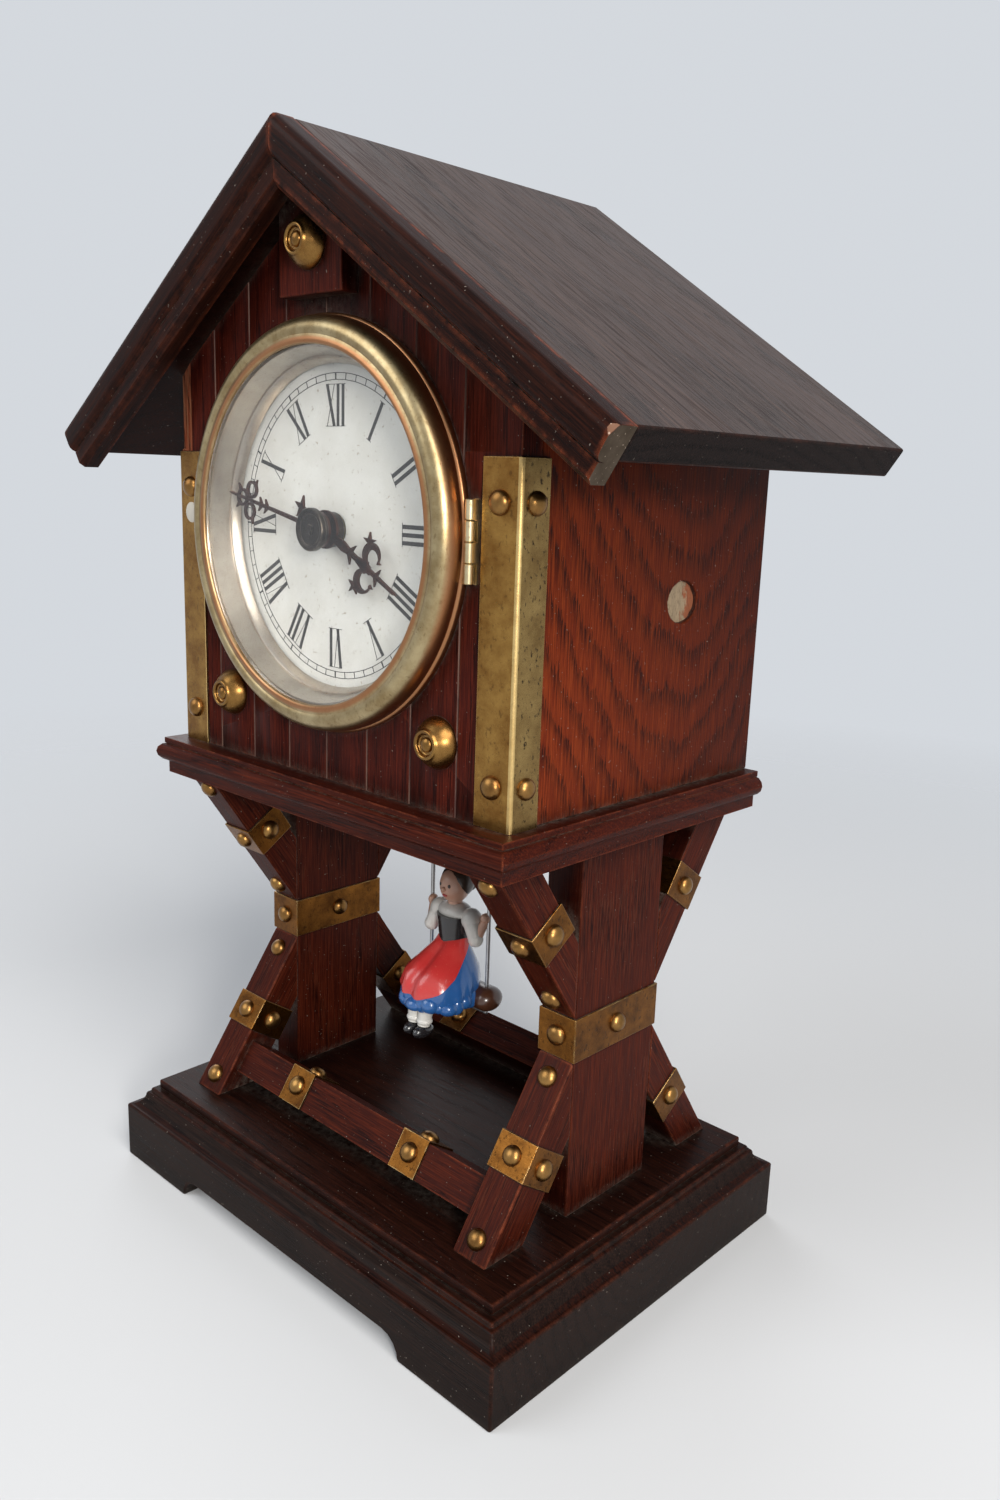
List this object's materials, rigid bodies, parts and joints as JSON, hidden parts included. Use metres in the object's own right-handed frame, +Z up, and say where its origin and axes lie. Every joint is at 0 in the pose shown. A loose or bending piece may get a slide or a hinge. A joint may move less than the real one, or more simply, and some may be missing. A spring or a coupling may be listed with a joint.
{
  "type": "chalet mantel clock",
  "caption": "House-shaped wooden mantel clock on a trestle stand, with a hinged brass bezel, a back-wound movement and a seated figure that swings front to back as the pendulum.",
  "frame": {"origin": "on the table under the middle of the base", "axes": "+Z up, +X to the right seen from the front, +Y towards the back; the dial faces -Y"},
  "size_m": [0.2308, 0.1376, 0.3316],
  "materials": {
    "stained_oak": "dark red-brown stained and varnished oak",
    "dark_oak": "near-black stained oak with a worn sheen",
    "aged_brass": "aged brass with dark spots",
    "plain_brass": "clean drawn brass",
    "silvered": "silvered spun ring",
    "glass": "flat clear glass",
    "white_dial": "matt white dial with black numerals",
    "blackened_steel": "blackened pierced steel",
    "steel": "plain steel",
    "painted_figure": "hand-painted gloss enamel"
  },
  "bodies": {
    "case": {"base_block": "dark_oak", "base_platform": "dark_oak", "post_left": "stained_oak", "post_right": "stained_oak", "waist_strap_left": "aged_brass", "waist_strap_right": "aged_brass", "strut_front_lower_left": "stained_oak", "strut_front_lower_right": "stained_oak", "strut_front_upper_left": "stained_oak", "strut_front_upper_right": "stained_oak", "strut_rear_lower_left": "stained_oak", "strut_rear_lower_right": "stained_oak", "strut_rear_upper_left": "stained_oak", "strut_rear_upper_right": "stained_oak", "rail_front": "stained_oak", "rail_rear": "stained_oak", "case_floor": "stained_oak", "case_front": "stained_oak", "case_left": "stained_oak", "case_right": "stained_oak", "case_back": "stained_oak", "back_door_hinge": "aged_brass", "roof_left": "stained_oak", "roof_right": "stained_oak", "verge_left": "dark_oak", "verge_right": "dark_oak", "gable_block": "stained_oak", "corner_strap_left": "aged_brass", "corner_strap_right": "aged_brass", "boss_top": "aged_brass", "boss_left": "aged_brass", "boss_right": "aged_brass", "bezel_hinge": "aged_brass", "dial": "white_dial", "front_plate": "plain_brass", "back_plate": "plain_brass", "mainspring": "steel"},
    "bezel": {"bezel": "aged_brass", "bezel_glass": "glass", "sight_ring": "silvered"},
    "back_door": {"back_door": "stained_oak"},
    "turn_button": {"turn_button": "aged_brass"},
    "minute_hand": {"minute_hand": "blackened_steel", "cannon_pinion": "steel", "centre_arbor": "steel"},
    "minute_wheel": {"minute_wheel": "plain_brass"},
    "hour_hand": {"hour_hand": "blackened_steel", "hour_wheel": "plain_brass"},
    "centre_wheel": {"centre_wheel": "plain_brass"},
    "third_wheel": {"third_wheel": "plain_brass"},
    "fourth_wheel": {"fourth_wheel": "plain_brass"},
    "crown_wheel": {"crown_wheel": "plain_brass"},
    "great_wheel": {"great_wheel": "plain_brass"},
    "click": {"click": "steel"},
    "winding": {"winding_arbor": "steel", "winding_key": "plain_brass"},
    "swing": {"verge_arbor": "steel", "swing_wires": "steel", "swing_seat": "stained_oak", "swing_figure": "painted_figure"}
  },
  "joints": [
    {"name": "bezel_opening", "type": "hinge", "parent": "case", "child": "bezel", "pos_m": [0.05895, -0.05245, 0.2281], "axis": [0, 0, 1], "range_deg": [0, 100]},
    {"name": "door_opening", "type": "hinge", "parent": "case", "child": "back_door", "pos_m": [0.044, 0.063, 0.216], "axis": [0, 0, -1], "range_deg": [0, 100]},
    {"name": "button_turning", "type": "hinge", "parent": "case", "child": "turn_button", "pos_m": [-0.05, 0.061, 0.216], "axis": [0, 1, 0], "range_deg": [0, 90]},
    {"name": "hand_setting", "type": "hinge", "parent": "case", "child": "minute_hand", "pos_m": [0, -0.04, 0.2281], "axis": [0, 1, 0], "continuous": true},
    {"name": "minute_wheel_turning", "type": "hinge", "parent": "case", "child": "minute_wheel", "pos_m": [0.012, -0.036, 0.2281], "axis": [0, 1, 0], "continuous": true},
    {"name": "hour_turning", "type": "hinge", "parent": "case", "child": "hour_hand", "pos_m": [0, -0.04, 0.2281], "axis": [0, 1, 0], "continuous": true},
    {"name": "centre_turning", "type": "hinge", "parent": "case", "child": "centre_wheel", "pos_m": [0, -0.028, 0.2281], "axis": [0, 1, 0], "continuous": true},
    {"name": "third_turning", "type": "hinge", "parent": "case", "child": "third_wheel", "pos_m": [0, -0.02, 0.2094], "axis": [0, 1, 0], "continuous": true},
    {"name": "fourth_turning", "type": "hinge", "parent": "case", "child": "fourth_wheel", "pos_m": [0, -0.02, 0.1907], "axis": [0, 1, 0], "continuous": true},
    {"name": "crown_turning", "type": "hinge", "parent": "case", "child": "crown_wheel", "pos_m": [0, -0.01, 0.172], "axis": [0, 1, 0], "continuous": true},
    {"name": "great_turning", "type": "hinge", "parent": "case", "child": "great_wheel", "pos_m": [0, -0.025, 0.25303], "axis": [0, 1, 0], "continuous": true},
    {"name": "click_lifting", "type": "hinge", "parent": "great_wheel", "child": "click", "pos_m": [-0.0095, -0.0275, 0.25903], "axis": [0, 1, 0], "range_deg": [0, 10]},
    {"name": "winding", "type": "hinge", "parent": "great_wheel", "child": "winding", "pos_m": [0, -0.01, 0.25303], "axis": [0, 1, 0], "continuous": true},
    {"name": "swinging", "type": "hinge", "parent": "case", "child": "swing", "pos_m": [0, 0.007, 0.172], "axis": [1, 0, 0], "range_deg": [-10, 10]}
  ],
  "couplings": [
    {"joint": "minute_wheel_turning", "follows": "hand_setting", "ratio": -0.33333},
    {"joint": "hour_turning", "follows": "hand_setting", "ratio": 0.083333},
    {"joint": "third_turning", "follows": "fourth_turning", "ratio": -0.16667},
    {"joint": "centre_turning", "follows": "fourth_turning", "ratio": 0.027778},
    {"joint": "great_turning", "follows": "fourth_turning", "ratio": -0.0046296},
    {"joint": "crown_turning", "follows": "fourth_turning", "ratio": -6}
  ]
}
